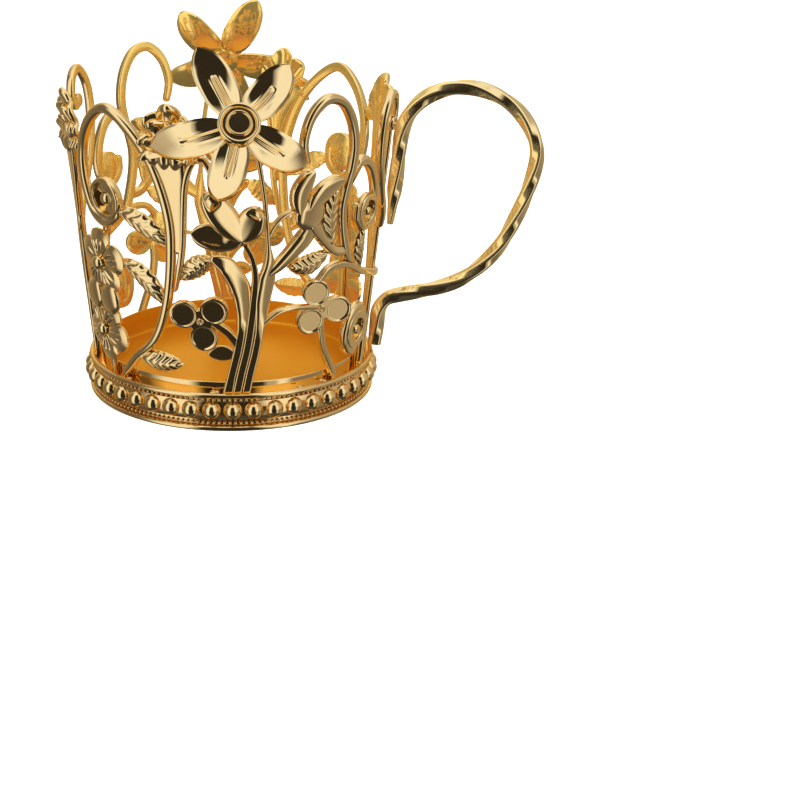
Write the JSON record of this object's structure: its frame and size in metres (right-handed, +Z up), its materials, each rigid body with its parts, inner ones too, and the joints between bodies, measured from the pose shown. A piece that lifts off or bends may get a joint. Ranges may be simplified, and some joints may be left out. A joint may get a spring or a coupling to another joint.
{
  "type": "tea glass holder",
  "caption": "Openwork gilded metal holder for a tea glass: a pierced wall of scrolls, stems, leaves and flowers on a pearl-banded base, with a twisted bar handle.",
  "frame": {"origin": "on the table, under the centre of the base", "axes": "+Z up, +X towards the handle, -Y towards the front with the big flower"},
  "size_m": [0.1161, 0.1078, 0.0888],
  "materials": {
    "gold_wall": "polished gold plate on filigree",
    "gold_base": "polished gold plate on spun sheet and beaded wire",
    "gold_handle": "polished gold plate on a twisted bar",
    "gold_flower": "bright polished gold plate on stamped petals"
  },
  "bodies": {
    "root": {"base_pan": "gold_base", "base_band": "gold_base", "bead_wire": "gold_base", "handle": "gold_handle", "front_scroll_large": "gold_wall", "front_scroll_small": "gold_wall", "front_volute_low": "gold_wall", "front_arch_tall": "gold_wall", "front_arch_seam": "gold_wall", "front_carnation_mid": "gold_wall", "front_carnation_side": "gold_wall", "front_stem_blossom": "gold_wall", "front_blossom_upper": "gold_wall", "front_blossom_lower": "gold_wall", "front_stem_leaf": "gold_wall", "front_stem_lotus": "gold_wall", "front_stem_flower": "gold_wall", "front_stem_tulip": "gold_wall", "front_stem_sweep": "gold_wall", "front_clover_left": "gold_wall", "front_clover_right": "gold_wall", "front_lotus": "gold_wall", "front_tulip": "gold_wall", "front_leaf_upper": "gold_wall", "front_leaf_middle": "gold_wall", "front_leaf_low": "gold_wall", "front_leaf_pair": "gold_wall", "front_leaf_right": "gold_wall", "front_leaf_fern": "gold_wall", "front_flower": "gold_flower", "front_flower_boss": "gold_flower", "back_scroll_large": "gold_wall", "back_scroll_small": "gold_wall", "back_volute_low": "gold_wall", "back_arch_tall": "gold_wall", "back_arch_seam": "gold_wall", "back_carnation_mid": "gold_wall", "back_carnation_side": "gold_wall", "back_stem_blossom": "gold_wall", "back_blossom_upper": "gold_wall", "back_blossom_lower": "gold_wall", "back_stem_leaf": "gold_wall", "back_stem_lotus": "gold_wall", "back_stem_flower": "gold_wall", "back_stem_tulip": "gold_wall", "back_stem_sweep": "gold_wall", "back_clover_left": "gold_wall", "back_clover_right": "gold_wall", "back_lotus": "gold_wall", "back_tulip": "gold_wall", "back_leaf_upper": "gold_wall", "back_leaf_middle": "gold_wall", "back_leaf_low": "gold_wall", "back_leaf_pair": "gold_wall", "back_leaf_right": "gold_wall", "back_leaf_fern": "gold_wall", "back_flower": "gold_flower", "back_flower_boss": "gold_flower"}
  },
  "joints": []
}
